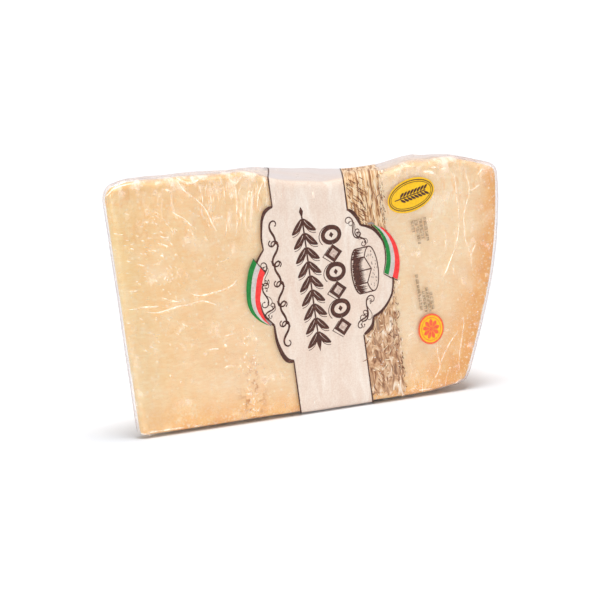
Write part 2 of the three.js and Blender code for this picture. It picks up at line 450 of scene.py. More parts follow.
seen_along = add(clear, "LayerWeight", {"Blend": 0.5}).outputs["Facing"]
haze = add(clear, "MapRange", {"From Min": 0.2, "From Max": 0.9, "To Max": 0.72, "Value": seen_along})
above_base = add(clear, "MapRange", {"From Min": 1 * MM, "From Max": 6 * MM, "Value": spot["Z"]})
haze = add(clear, "Math", {"operation": "MULTIPLY", 0: haze, 1: above_base})
skin = add(clear, "BsdfTransparent")
for share, lit, glow in ((milk, "#fffefa", "#a8a098"), (haze, "#b8acad", "#8c8483")):
    outer = add(clear, "BsdfDiffuse", {"Color": linear(lit)})
    inner = add(clear, "BsdfTranslucent", {"Color": linear(glow)})
    veil = add(clear, "AddShader", {0: outer, 1: inner})
    skin = add(clear, "MixShader", {0: share, 1: skin, 2: veil})

fold_bump = add(clear, "Bump", {"Strength": 0.5, "Distance": 1.2 * MM, "Height": wide})
film_bump = add(clear, "Bump", {"Strength": 0.25, "Distance": 0.3 * MM, "Height": fine, "Normal": fold_bump})
gloss = add(clear, "BsdfGlossy", {"Roughness": 0.14, "Normal": film_bump})
glance = add(clear, "Fresnel", {"IOR": 1.5})
inside = add(clear, "NewGeometry").outputs["Backfacing"]
glance = add(clear, "Math", {"operation": "SUBTRACT", "use_clamp": True, 0: glance, 1: inside})
glance = add(clear, "Math", {"operation": "MINIMUM", 0: glance, 1: 0.4})
skin = add(clear, "MixShader", {0: glance, 1: skin, 2: gloss})
add(clear, "OutputMaterial", {"Surface": skin})
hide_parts("wrapped_cheese_wedge")
finish(film, clear)

film_skin = BVHTree.FromObject(film, bpy.context.evaluated_depsgraph_get())


# The cream band is printed on the film as a wide ring round the whole pack. It leans a little, because the
# wedge lay askew in its film, and on the front it widens to a plain cartouche with lobed sides.
BAND_LEAN = 0.119  # sideways millimetres for each millimetre down
BAND_SKEW = 0.588  # and for each millimetre back over the front part of the top
SKEW_STEADY, SKEW_EASES = 34 * MM, 22 * MM  # the skew is steady this far back, and then eases off to none
BAND_LEFT, BAND_RIGHT = (-25.9, 114.1), (13.7, 112.3)  # points (x, z) of its edges on the front, in mm
BAND_LIFT, LINE_LIFT, PANEL_LIFT, INK_LIFT = 0.06 * MM, 0.10 * MM, 0.15 * MM, 0.20 * MM


def skew_at(places):
    """How far the band has moved to the side behind the front: steadily at first, and no more at the back."""
    behind = places[:, 1] - FRONT_Y
    slowed = np.clip(behind - SKEW_STEADY, 0, SKEW_EASES)
    return BAND_SKEW * (np.minimum(behind, SKEW_STEADY + SKEW_EASES) - slowed ** 2 / (2 * SKEW_EASES))


def ring_between(name, left, right, lift):
    """A ring of the film's skin between two leaning planes, each through a point (x, z) on the front."""
    ring = copy_of(film, name)
    places = vertex_arrays(ring)[0]
    places[:, 0] -= skew_at(places)
    move_vertices(ring, places)
    across = Vector((1, 0, BAND_LEAN)).normalized()
    for (px, pz), outward in ((left, -across), (right, across)):
        edit(ring)
        bpy.ops.mesh.bisect(plane_co=(px * MM, FRONT_Y, pz * MM), plane_no=outward, clear_outer=True)
        bpy.ops.object.mode_set(mode="OBJECT")
    places = vertex_arrays(ring)[0]
    places[:, 0] += skew_at(places)
    move_vertices(ring, places)
    move_vertices(ring, places + vertex_arrays(ring)[1] * lift)
    return ring


def smooth_line(points, steps=6):
    """More points along a smooth line through the given ones (Catmull-Rom)."""
    points = np.array(points, float)
    ends = np.vstack([2 * points[0] - points[1], points, 2 * points[-1] - points[-2]])
    t = np.linspace(0, 1, steps, endpoint=False)[:, None]
    line = []
    for a, b, c, d in zip(ends, ends[1:], ends[2:], ends[3:]):
        line.append(b + 0.5 * t * (c - a + t * (2 * a - 5 * b + 4 * c - d + t * (3 * (b - c) + d - a))))
    return np.vstack([*line, points[-1:]])


def press_on(piece, lift, face=Matrix.Identity(4)):
    """Presses a piece that lies flat before a face of the pack straight back onto the film, a lift off it."""
    back = (face.to_3x3() @ Vector((0, 1, 0))).normalized()
    starts = [face @ Vector((vertex.co.x, -0.3, vertex.co.z)) for vertex in piece.data.vertices]
    hits = [film_skin.ray_cast(start, back)[0] for start in starts]
    depth = float(np.median([(hit - start).dot(back) for hit, start in zip(hits, starts) if hit]))
    for vertex, start, hit in zip(piece.data.vertices, starts, hits):
        if hit is None or (hit - start).dot(back) > depth + 14 * MM:  # over the edge of the face
            hit = film_skin.find_nearest(start + back * depth)[0]
        vertex.co = hit + back * (vertex.co.y - lift)
    piece.data.update()


def sheet_between(name, edge_a, edge_b, across, lift):
    """A sheet of ink on the front between two lines of (x, z) points in mm, with as many points each."""
    edge_a, edge_b = np.array(edge_a)[:, :2], np.array(edge_b)[:, :2]
    along = len(edge_a) - 1
    bpy.ops.mesh.primitive_grid_add(x_subdivisions=across, y_subdivisions=along, size=2)
    sheet = bpy.context.object
    sheet.name = sheet.data.name = name
    for vertex in sheet.data.vertices:
        share, row = (vertex.co.x + 1) / 2, round((vertex.co.y + 1) / 2 * along)
        px, pz = edge_a[row] * (1 - share) + edge_b[row] * share
        vertex.co = (px * MM, 0, pz * MM)
    press_on(sheet, lift)
    edit(sheet)
    bpy.ops.mesh.normals_make_consistent(inside=False)
    bpy.ops.object.mode_set(mode="OBJECT")
    if sheet.data.polygons[0].normal.y > 0:
        sheet.data.flip_normals()
    bpy.ops.object.shade_smooth()
    return sheet


# The lobes of the cartouche, each a list of (x, z, width of its dark outline) in mm, from the top down
LEFT_LOBES = [
    [(-24.0, 97.3, 0.9), (-26.3, 96.6, 1.6), (-28.3, 94.8, 1.7), (-29.6, 91.5, 1.3), (-30.0, 87.1, 1.0),
     (-30.1, 82.7, 0.9), (-29.3, 78.2, 0.6)],
    [(-29.3, 78.2, 0.7), (-31.7, 75.0, 1.0), (-33.2, 72.0, 1.0), (-34.0, 67.0, 0.9), (-33.7, 61.0, 0.9),
     (-32.3, 55.0, 0.9), (-30.8, 49.9, 1.0), (-28.1, 46.2, 1.3), (-25.1, 43.4, 1.1)],
    [(-25.1, 43.4, 1.0), (-24.7, 40.3, 1.1), (-24.0, 36.3, 1.4), (-22.5, 32.1, 1.8), (-20.4, 28.3, 2.1),
     (-18.1, 26.3, 2.0), (-15.4, 25.9, 1.3)],
]
RIGHT_LOBES = [
    [(15.6, 93.2, 0.9), (18.3, 91.8, 1.7), (20.8, 89.0, 1.7), (22.8, 85.4, 1.1)],
    [(22.8, 85.4, 1.0), (26.3, 84.5, 1.2), (29.9, 82.8, 1.3), (32.8, 80.0, 1.2), (35.6, 76.0, 1.0),
     (38.0, 71.0, 0.9), (39.5, 65.0, 0.9), (40.0, 58.9, 0.9), (39.8, 55.0, 0.9), (38.8, 50.9, 1.0),
     (35.9, 46.6, 1.2), (32.2, 43.4, 1.3), (28.5, 41.9, 1.0)],
    [(28.5, 41.9, 1.0), (28.2, 38.6, 1.6), (26.5, 36.2, 1.9), (23.4, 34.0, 1.2)],
]


def whole_edge(lobes, count):
    """The lobes as one line from the top down, with evenly spaced points."""
    line = np.vstack([smooth_line(lobe, 12) for lobe in lobes])[:, :2]
    reach = np.concatenate([[0], np.cumsum(np.linalg.norm(np.diff(line, axis=0), axis=1))])
    even = np.linspace(0, reach[-1], count)
    return np.column_stack([np.interp(even, reach, line[:, 0]), np.interp(even, reach, line[:, 1])])


band = ring_between("cream_band", BAND_LEFT, BAND_RIGHT, BAND_LIFT)
cartouche = sheet_between(
    "cream_cartouche", whole_edge(LEFT_LOBES, 130), whole_edge(RIGHT_LOBES, 130), 44, PANEL_LIFT,
)

# Cream ink on film: pale and pinkish upright wrinkles, partly the film paler where it is less tight and
# partly painted shading of the wrinkles, the speck of the print screen, drawn as coarse as it needs to show,
# and a lilac bloom where it is seen along its face.
cream = bare(bpy.data.materials.new("cream_ink_on_film"))
place = add(cream, "TexCoord").outputs["Object"]
upright_place = add(cream, "Mapping", {"Scale": (1.0, 1.0, 0.3), "Rotation": (0, 0.12, 0), "Vector": place})
loose = add(cream, "TexNoise", {
    "Scale": lumps(6.667), "Detail": 4.0, "Roughness": 0.6, "Distortion": 0.9, "Vector": upright_place,
})
screen = add(cream, "TexNoise", {"Scale": lumps(0.6667), "Detail": 1.0, "Vector": place})
# partly painted shade and light: darker in the wrinkles' hollows and paler on their crests, as their bump
# goes
loose_and_wrinkle_shade_tone = add(cream, "ValToRGB", {"Fac": loose}, [
    (0.3, "#e5cbb9"), (0.5, "#ead6c6"), (0.62, "#efdfd1"), (0.75, "#faf1e6"),
])
speck_tone = add(cream, "ValToRGB", {"Fac": screen}, [(0.35, "#dbc1ad"), (0.65, "#f3e4d6")])
tone = add(cream, "Mix", {"data_type": "RGBA", "Factor": 0.3, 6: loose_and_wrinkle_shade_tone, 7: speck_tone})
seen_along = add(cream, "LayerWeight", {"Blend": 0.5}).outputs["Facing"]
bloom = add(cream, "MapRange", {"From Min": 0.6, "From Max": 0.9, "To Max": 0.8, "Value": seen_along})
tone = add(cream, "Mix", {"data_type": "RGBA", "Factor": bloom, 6: tone, 7: linear("#d2c6c6")})
wrinkled = add(cream, "Bump", {"Strength": 0.35, "Distance": 0.6 * MM, "Height": loose})
cream_shine = add(cream, "BsdfPrincipled", {"Roughness": 0.35, "Base Color": tone, "Normal": wrinkled})
add(cream, "OutputMaterial", {"Surface": cream_shine})
for piece in (band, cartouche):
    finish(piece, cream)


# Dark brown ink draws the edges of the band all round the pack, and the thick and thin outline of the
# cartouche, which is heaviest under its lobes. It is a solid ink with a slightly worn, screened look.
EDGE_LINE = 0.7  # width of the line along the band's edges, in mm


def nib(name, section):
    """The cross-section that a drawn line is swept with, 1 mm wide where a line's width is 1."""
    curve = bpy.data.curves.new(name, "CURVE")
    spline = curve.splines.new("POLY")
    spline.points.add(len(section) - 1)
    for point, (across, height) in zip(spline.points, section):
        point.co = (across, height, 0, 1)
    made = bpy.data.objects.new(name, curve)
    scene.collection.objects.link(made)
    return made


flat_nib = nib("flat_nib", [(-0.5, 0), (0, 0), (0.5, 0)])


def draw(name, lines, lift, pen=flat_nib, face=Matrix.Identity(4)):
    """Draws lines of (x, z, width) in mm on a face of the pack, as one piece of ink or film."""
    curve = bpy.data.curves.new(name, "CURVE")
    curve.dimensions = "2D"
    curve.fill_mode = "NONE"
    curve.bevel_mode = "OBJECT"
    curve.bevel_object = pen
    for line in lines:
        spline = curve.splines.new("POLY")
        spline.points.add(len(line) - 1)
        for point, (px, pz, width) in zip(spline.points, line):
            point.co = (px, pz, 0, 1)
            point.radius = width
    piece = bpy.data.objects.new(name, curve)
    scene.collection.objects.link(piece)
    only(piece)
    bpy.ops.object.convert(target="MESH")
    piece = bpy.context.object
    piece.data.transform(Matrix.Scale(MM, 4) @ Matrix.Rotation(math.pi / 2, 4, "X"))
    press_on(piece, lift, face)
    bpy.ops.object.shade_smooth()
    return piece



def ink(name, tones, speck=1.1):
    """Printing ink, laid on film by a roller: even, with the speck of the print screen, of a size in mm. A
    real screen is some ten times finer, and this one is as coarse as it needs to show."""
    material = bare(bpy.data.materials.new(name))
    place = add(material, "TexCoord").outputs["Object"]
    screen = add(material, "TexNoise", {"Scale": lumps(speck), "Detail": 2.0, "Vector": place})
    tone = add(material, "ValToRGB", {"Fac": screen}, tones)
    shine = add(material, "BsdfPrincipled", {"Roughness": 0.4, "Base Color": tone})
    add(material, "OutputMaterial", {"Surface": shine})
    return material


outline = draw("brown_outline", [smooth_line(lobe) for lobe in LEFT_LOBES + RIGHT_LOBES], INK_LIFT)
half = EDGE_LINE / 2
edge_lines = [
    ring_between(name, (px - half, pz), (px + half, pz), LINE_LIFT)
    for name, (px, pz) in {"brown_line_left": BAND_LEFT, "brown_line_right": BAND_RIGHT}.items()
]
brown = ink("dark_brown_ink", [(0.35, "#421a0e"), (0.6, "#522818"), (0.75, "#7c4e3a")], 1.111)
for piece in (outline, *edge_lines):
    finish(piece, brown)


# Two short ribbons in green, pale grey and red are printed round the sides of the cartouche, each of three
# stripes that draw together at a folded end. A thin dark line edges the inner side of the right one.
RIBBON_LIFT = 0.25 * MM
STRIPES = [("green", 0.0, 0.32), ("grey", 0.32, 0.63), ("red", 0.63, 1.0)]
RIBBONS = {
    "left": (
        [(-34.8, 74.5), (-37.3, 69.5), (-38.6, 63.4), (-38.8, 58.1), (-38.2, 53.7), (-36.4, 50.0),
         (-33.2, 46.7), (-30.4, 44.9), (-28.2, 43.8)],
        [(-28.9, 68.3), (-30.4, 64.0), (-31.2, 60.0), (-31.9, 56.0), (-31.5, 51.5), (-29.9, 47.3),
         (-27.6, 44.2)],
    ),
    "right": (
        [(29.0, 85.2), (32.2, 82.4), (34.5, 79.0), (36.3, 74.1), (36.7, 67.9), (35.2, 61.9)],
        [(35.3, 83.1), (39.5, 79.4), (42.6, 74.4), (44.0, 68.3), (43.8, 63.2), (42.5, 58.1)],
    ),
}

ribbon_inks = {
    "green": ink("green_ink", [(0.35, "#007426"), (0.65, "#048a34")]),
    "grey": ink("pale_grey_ink", [(0.35, "#c6bbb5"), (0.65, "#d6ccc7")]),
    "red": ink("red_ink", [(0.35, "#ee2a28"), (0.65, "#fa3c38")]),
}
for side, edges in RIBBONS.items():
    green_edge, red_edge = (whole_edge([edge], 33) for edge in edges)
    across = red_edge - green_edge
    for colour, low, high in STRIPES:
        stripe = sheet_between(
            f"{colour}_stripe_{side}", green_edge + across * low, green_edge + across * high, 3, RIBBON_LIFT,
        )
        finish(stripe, ribbon_inks[colour])

folds = draw("ribbon_folds", [
    [(-29.3, 46.6, 0.6), (-28.2, 45.0, 1.5), (-26.6, 43.9, 1.3)],
    [(26.9, 85.6, 0.9), (28.8, 85.9, 1.0), (30.6, 85.2, 0.5)],
], RIBBON_LIFT)
finish(folds, ink("shaded_grey_ink", [(0.35, "#8d817b"), (0.65, "#a39791")]))
ribbon_edges = draw("ribbon_edges", [
    smooth_line([(28.6, 84.9, 0.5), (31.6, 82.2, 0.8), (33.9, 78.9, 0.8), (35.8, 74.1, 0.7),
                 (36.2, 67.9, 0.6), (34.8, 61.9, 0.3)]),
    [(34.7, 61.6, 0.4), (38.6, 59.4, 0.5), (42.6, 57.7, 0.4)],
    [(-35.0, 74.9, 0.3), (-31.8, 71.4, 0.5), (-28.7, 67.9, 0.4)],
], RIBBON_LIFT + 0.03 * MM)
finish(ribbon_edges, brown)


# Right of the band the film carries a strip of engraving like a broken, grained crust, in browns on tan. Its
# right edge is ragged, and it stops short of the base. The grain is screened ink with drawn strokes over it.
STRIP_WIDTH = 19.4  # from the band's edge to the middle of the ragged edge, in mm
STRIP_RAGGED = 3.2
STROKES = 420
FAN_LENGTH, FAN_WIDTH = 26, 8  # at the strip's top left the strokes fan out, over this much of it in mm
WINDING_FROM = 62  # mm down the strip, where the grain starts to wind about

strip = ring_between(
    "engraved_strip", BAND_RIGHT, (BAND_RIGHT[0] + STRIP_WIDTH + STRIP_RAGGED, BAND_RIGHT[1]), BAND_LIFT,
)
places = vertex_arrays(strip)[0]
across = (places @ [1, 0, BAND_LEAN] - skew_at(places)) / MM - (BAND_RIGHT[0] + BAND_LEAN * BAND_RIGHT[1])
store(strip, "across", across / STRIP_WIDTH)

engraved = bare(bpy.data.materials.new("engraved_brown_ink"))
place = add(engraved, "TexCoord").outputs["Object"]
spot = add(engraved, "SeparateXYZ", {"Vector": place}).outputs
across = add(engraved, "Attribute", {"attribute_name": "across"}).outputs["Fac"]
sideways = add(engraved, "Math", {"operation": "MULTIPLY", 0: across, 1: STRIP_WIDTH * MM})
along = add(engraved, "Math", {"operation": "SUBTRACT", 0: spot["Z"], 1: spot["Y"]})
on_strip = add(engraved, "CombineXYZ", {"X": sideways, "Z": along})
tones = []
for width, length, detail, roughness, bend, stops in (
    (1.923, 13.33, 3.0, 0.6, 1.3, [
        (0.34, "#7a4326"), (0.43, "#b9824f"), (0.5, "#ebbe8c"), (0.58, "#f6dab2"), (0.7, "#fdeed8"),
    ]),
    (3.704, 8.333, 4.0, 0.62, 1.5, [
        (0.34, "#70402a"), (0.42, "#a06d4c"), (0.49, "#cb9c76"), (0.56, "#e8c4a0"), (0.66, "#fff4e4"),
    ]),
):
    stretch = (lumps(width), lumps(width), lumps(length))
    stretched = add(engraved, "Mapping", {"Scale": stretch, "Vector": on_strip})
    grain = add(engraved, "TexNoise", {
        "Scale": 1.0, "Detail": detail, "Roughness": roughness, "Distortion": bend, "Vector": stretched,
    })
    tones.append(add(engraved, "ValToRGB", {"Fac": grain}, stops))
gnarled = add(engraved, "MapRange", {
    "From Min": 35 * MM, "From Max": 62 * MM, "To Min": 0.85, "To Max": 0.1, "Value": spot["Z"],
})
tone = add(engraved, "Mix", {"data_type": "RGBA", "Factor": gnarled, 6: tones[0], 7: tones[1]})

edge_place = add(engraved, "Mapping", {"Scale": (1.0, 1.0, 0.7), "Vector": place})
edge_noise = add(engraved, "TexNoise", {
    "Scale": lumps(3.846), "Detail": 3.0, "Roughness": 0.7, "Vector": edge_place,
})
inked = 0.93
for part, test, low, high in (
    (across, "LESS_THAN", 0.9, 1.12), (spot["Z"], "GREATER_THAN", 1 * MM, 7.5 * MM),
):
    ragged_edge = add(engraved, "MapRange", {
        "From Min": 0.3, "From Max": 0.7, "To Min": low, "To Max": high, "Value": edge_noise,
    })
    kept = add(engraved, "Math", {"operation": test, 0: part, 1: ragged_edge})
    inked = add(engraved, "Math", {"operation": "MULTIPLY", 0: inked, 1: kept})
unprinted = add(engraved, "BsdfTransparent")
engraved_shine = add(engraved, "BsdfPrincipled", {"Roughness": 0.45, "Base Color": tone})
laid = add(engraved, "MixShader", {0: inked, 1: unprinted, 2: engraved_shine})
add(engraved, "OutputMaterial", {"Surface": laid})
finish(strip, engraved)

DOWN = Vector((BAND_LEAN, -1)).normalized()  # the band's own directions on the front, as (x, z)
ACROSS = Vector((1, BAND_LEAN)).normalized()


def on_band(origin, down, across, width=None):
    """The (x, z) in mm of a place measured down and across the leaning band, with a width if one is given."""
    at = Vector(origin) + DOWN * down + ACROSS * across
    return (at.x, at.y) if width is None else (at.x, at.y, width)


dice = random.Random(5)
dark_strokes, pale_strokes = [], []
for number in range(STROKES):
    down = dice.uniform(3.5, 104)
    at_edge = dice.random() < 0.3
    across = dice.gauss(STRIP_WIDTH - 0.6, 0.9) if at_edge else dice.uniform(0.8, STRIP_WIDTH - 0.5)
    if number % 5 == 0 and not at_edge:
        down, across = dice.uniform(3.5, FAN_LENGTH), dice.uniform(0.8, FAN_WIDTH)
    length = dice.uniform(0.8, 2.0) if at_edge else dice.uniform(1.8, 5.5)
    heading = dice.gauss(0, 0.5 if at_edge else 0.16)
    if down > WINDING_FROM and not at_edge:
        heading, length = dice.gauss(0, 0.75), length * 0.75
    if down < FAN_LENGTH and across < FAN_WIDTH:
        heading = dice.gauss(0.75, 0.12)
    turn = dice.gauss(0, 0.4)
    width = dice.uniform(0.22, 0.5)
    stroke, spot = [], Vector((down, across))
    for share in (0.25, 0.85, 1.0, 0.8, 0.2):
        stroke.append(on_band(BAND_RIGHT, spot.x, spot.y, width * share))
        spot += Vector((math.cos(heading), math.sin(heading))) * length / 4
        heading += turn / 4
    (pale_strokes if dice.random() < 0.3 and not at_edge else dark_strokes).append(stroke)
strokes = draw("engraved_strokes", dark_strokes, LINE_LIFT)
finish(strokes, ink("worn_brown_ink", [(0.35, "#5c2e18"), (0.5, "#7c4628"), (0.7, "#a67448")]))
highlights = draw("engraved_highlights", pale_strokes, LINE_LIFT)
finish(highlights, ink("pale_tan_ink", [(0.35, "#e9cda2"), (0.65, "#f7e7ca")]))


# The cartouche carries plain ornament in dark brown ink: a garland of bold leaves, a chain of rings and
# lozenges, a cheese wheel with a slice cut out, a fine curling stem and scrolls. All of it is generic.
GARLAND_TOP, GARLAND_LENGTH, LEAF_PAIRS = (-8.8, 93.0), 61.0, 9
CHAIN_TOP, CHAIN_LINKS, CHAIN_PITCH = (6.6, 82.2), 6, 8.7
WHEEL_AT = (24.6, 64.2)
VINE_TOP, VINE_TURNS, VINE_PITCH = (-24.4, 85.2), 6, 9.3


def scroll(middle, reach, turned, thick=0.8, flip=1, winding=1.75, thin=0.28):
    """An S-shaped scroll about a place, a line that winds in at both ends, as a pen draws it, with a dot at
    each end. Its two ends are a reach apart."""
    t = np.linspace(-1, 1, 90)
    heading = flip * winding * math.pi * t * t
    x, z = np.cumsum(np.cos(heading)), np.cumsum(np.sin(heading))
    x, z = x - (x[0] + x[-1]) / 2, z - (z[0] + z[-1]) / 2
    scale = reach / math.hypot(x[-1] - x[0], z[-1] - z[0])
    angle = math.radians(turned) - math.atan2(z[-1] - z[0], x[-1] - x[0])
    c, s = scale * math.cos(angle), scale * math.sin(angle)
    spots = [(middle[0] + c * a - s * b, middle[1] + s * a + c * b) for a, b in zip(x, z)]
    line = [(px, pz, thin + (thick - thin) * (1 - abs(share)) ** 0.8) for (px, pz), share in zip(spots, t)]
    dots = [[(px - 0.35, pz, 0.3), (px, pz, 0.9), (px + 0.35, pz, 0.3)] for px, pz in (spots[0], spots[-1])]
    return [line, *dots]


def ring_line(middle, radius_down, radius_across, width, start=0, end=360):
    """A ring, or a part of one, about a place on the band."""
    angles = np.radians(np.linspace(start, end, 33))
    return [on_band(middle, radius_down * math.cos(a), radius_across * math.sin(a), width) for a in angles]


def down_line(origin, *stops):
    """A line straight down the band from an origin, through (down, width) stops."""
    return [on_band(origin, down, 0, width) for down, width in stops]


heavy, fine_lines, midribs = [], [], []

# Garland: a stem with leaves in pairs, each with a pale midrib and a thin line beside it
LEAF_DOWN, LEAF_OUT, LEAF_WIDE, LEAF_BOW, LEAF_STEPS = 6.2, 6.3, 3.3, 1.1, 8

for pair in range(LEAF_PAIRS):
    start = 2.5 + pair * (GARLAND_LENGTH - 8) / (LEAF_PAIRS - 1)
    for side in (-1, 1):
        leaf, rib, beside = [], [], []
        for step in range(LEAF_STEPS + 1):
            share = step / LEAF_STEPS
            bow = LEAF_BOW * math.sin(math.pi * share)
            down = start + LEAF_DOWN * share + 0.3 * bow
            across = side * (0.4 + 0.94 * LEAF_OUT * share - 0.6 * bow)
            wide = LEAF_WIDE * math.sin(math.pi * min(1, share * 0.9 + 0.06)) ** 0.8
            leaf.append(on_band(GARLAND_TOP, down, across, max(0.15, wide)))
            if 1 <= step <= 6:
                rib.append(on_band(GARLAND_TOP, down, across, 0.34 - 0.04 * step))
            beside.append(on_band(GARLAND_TOP, down + 0.5 * wide + 0.75, across - side * 0.1, 0.3))
        heavy.append(leaf)
        midribs.append(rib)
        fine_lines.append(beside[1:])
last = GARLAND_LENGTH
heavy.append(down_line(GARLAND_TOP, *[(down, 0.8) for down in np.linspace(0, last - 2, 40)]))
heavy.append(down_line(GARLAND_TOP, (last - 4, 0.2), (last - 1, 2.8), (last + 3.5, 0.1)))
heavy.append(down_line(GARLAND_TOP, (-3.2, 0.1), (-1.0, 2.2), (2.0, 0.2)))

# Chain: rings and lozenges in turn, each with a thin line beside it, down and to the left
for link in range(CHAIN_LINKS):
    middle = on_band(CHAIN_TOP, link * CHAIN_PITCH, 0)
    shade = on_band(middle, 0.5, -0.6)
    if link % 2:
        heavy.append(down_line(middle, (-4.3, 0.1), (0, 9.6), (4.3, 0.1)))
        midribs.append(down_line(middle, (-2.3, 0.1), (0, 5.0), (2.3, 0.1)))
        heavy.append(down_line(middle, (-1.4, 0.1), (0, 2.8), (1.4, 0.1)))
        corners = ((-3.6, -1.2, 0.3), (0.2, -5.3, 0.4), (4.4, 0, 0.3))
        fine_lines.append([on_band(shade, *corner) for corner in corners])
    else:
        heavy.append(ring_line(middle, 3.5, 4.5, 2.1))
        heavy.append(down_line(middle, (-1.3, 0.2), (0, 2.4), (1.3, 0.2)))
        fine_lines.append(ring_line(shade, 5.0, 6.0, 0.4, -50, -190))

# Wheel with a slice cut out, drawn with its top to the right and shaded with short strokes
WHEEL_RADIUS, WHEEL_TILT, WHEEL_HEIGHT = 10.6, 3.7, 7.2
SIDE_STROKES, TOP_STROKES = 64, 26


def round_wheel(angle, share=1.0):
    """How far down and across a place on the wheel's tilted rim is from its middle, or a share of that."""
    angle = math.radians(angle)
    return share * WHEEL_RADIUS * math.cos(angle), share * WHEEL_TILT * math.sin(angle)


top_middle, foot_middle = on_band(WHEEL_AT, 0, WHEEL_HEIGHT / 2), on_band(WHEEL_AT, 0, -WHEEL_HEIGHT / 2)
heavy.append(ring_line(top_middle, WHEEL_RADIUS, WHEEL_TILT, 0.55, -55, 235))
heavy.append(ring_line(foot_middle, WHEEL_RADIUS, WHEEL_TILT, 0.7, 180, 360))
for down in (-WHEEL_RADIUS, WHEEL_RADIUS):
    heavy.append([on_band(foot_middle, down, 0, 0.6), on_band(top_middle, down, 0, 0.6)])
cut = [round_wheel(235), round_wheel(305)]
for corner in cut:
    heavy.append([on_band(top_middle, 0, 0, 0.5), on_band(top_middle, *corner, 0.6)])
    heavy.append([on_band(top_middle, *corner, 0.6), on_band(foot_middle, *corner, 0.6)])
heavy.append([on_band(top_middle, 0, 0, 0.6), on_band(foot_middle, 0, 0.2, 0.5)])
for number in range(SIDE_STROKES):
    down = -WHEEL_RADIUS + 0.5 + number * (2 * WHEEL_RADIUS - 1) / (SIDE_STROKES - 1)
    foot = -WHEEL_TILT * math.sqrt(1 - (down / WHEEL_RADIUS) ** 2)
    in_cut = cut[0][0] < down < cut[1][0]
    tall = WHEEL_HEIGHT * (dice.uniform(0.75, 0.95) if in_cut else dice.uniform(0.3, 0.85))
    start = foot + (0.6 if in_cut else 0.3) + (0 if dice.random() < 0.5 else 0.5)
    fine_lines.append([
        on_band(foot_middle, down, start, 0.42), on_band(foot_middle, down + 0.15, start + tall * 0.5, 0.36),
        on_band(foot_middle, down + 0.2, start + tall * (0.9 if in_cut else 1), 0.1),
    ])
for number in range(TOP_STROKES):
    down, across = round_wheel(dice.uniform(-50, 230), dice.uniform(0.2, 0.85))
    fine_lines.append([
        on_band(top_middle, down - 0.5, across, 0.15), on_band(top_middle, down + 0.3, across + 0.05, 0.3),
    ])

# Vine: scrolls to the left and the right in turn, linked down the middle, with a leaf between them
for turn in range(VINE_TURNS):
    side = 1 if turn % 2 else -1
    fine_lines += scroll(on_band(VINE_TOP, turn * VINE_PITCH, 0), 7.4, -90 + 24 * side, 1.15, side, 1.5, 0.4)
    if turn:
        between = on_band(VINE_TOP, (turn - 0.5) * VINE_PITCH, side * 1.6)
        heavy.append([on_band(between, *leaf) for leaf in ((-2.0, -1.0, 0.1), (0, 0, 1.5), (2.0, 1.0, 0.1))])

# Pairs of scrolls in the corners of the cartouche, the smaller one with a thin pen
for middle, reach, turned, flip in (
    ((18.6, 84.6), 6.6, 128, 1), ((22.4, 79.6), 5.2, 118, -1), ((25.2, 46.2), 7.4, 60, -1),
    ((22.8, 41.2), 5.0, 66, 1), ((-29.2, 67.2), 6.0, 96, 1), ((-29.2, 57.6), 6.4, 82, -1),
    ((-26.9, 50.2), 4.4, 62, 1),
):
    fine_lines += scroll(middle, reach, turned, 0.75, flip, 1.8)
    fine_lines += scroll(on_band(middle, 0.8, 1.0), reach * 0.8, turned + 14, 0.32, flip, 1.6, 0.22)

ornaments = draw("brown_ornament", heavy, INK_LIFT)
finish(ornaments, brown)
fine_ornaments = draw("brown_fine_lines", fine_lines, INK_LIFT)
finish(fine_ornaments, brown)
ribs = draw("ornament_highlights", midribs, INK_LIFT + 0.04 * MM)
finish(ribs, ink("worn_cream_ink", [(0.35, "#b79a8a"), (0.65, "#e2cdbf")]))


# A yellow oval badge and a round red and yellow seal are printed on the clear film at the right, with rows of
# fine grey-brown bars between them. Their motifs are an ear of grain and a rosette.
BADGE_AT, BADGE_RADII, BADGE_TURN = (51.6, 97.2), (13.6, 7.8), 14
GRAIN_PAIRS, GRAIN_PITCH = 8, 1.95
SEAL_AT, SEAL_RADIUS, PETALS = (61.3, 32.4), 7.4, 9


def turned_about(middle, turned, a, b):
    """The (x, z) of a place a and b along the axes of a mark that is turned about its middle."""
    c, s = math.cos(math.radians(turned)), math.sin(math.radians(turned))
    return middle[0] + c * a - s * b, middle[1] + s * a + c * b


def filled(middle, radii, turned, rows=16):
    """Level rows that fill an oval, as the two edges of a sheet of (x, z) points in mm."""
    angles = np.linspace(math.pi / 2, -math.pi / 2, rows * 2 + 1)
    a, b = radii[0] * np.cos(angles), radii[1] * np.sin(angles)
    return [np.column_stack(turned_about(middle, turned, side * a, b)) for side in (-1, 1)]


def oval_line(middle, radii, turned, width, steps=64):
    """A closed oval line."""
    angles = np.linspace(0, 2 * math.pi, steps + 1)
    return [
        (*turned_about(middle, turned, radii[0] * math.cos(a), radii[1] * math.sin(a)), width) for a in angles
    ]


yellow = ink("yellow_ink", [(0.35, "#f4bb00"), (0.65, "#fdca04")])
badge = sheet_between("yellow_badge", *filled(BADGE_AT, BADGE_RADII, BADGE_TURN), 14, PANEL_LIFT)
finish(badge, yellow)


def badge_line(*stops):
    """A line through (along, across, width) stops on the badge."""
    return [(*turned_about(BADGE_AT, BADGE_TURN, a, b), width) for a, b, width in stops]


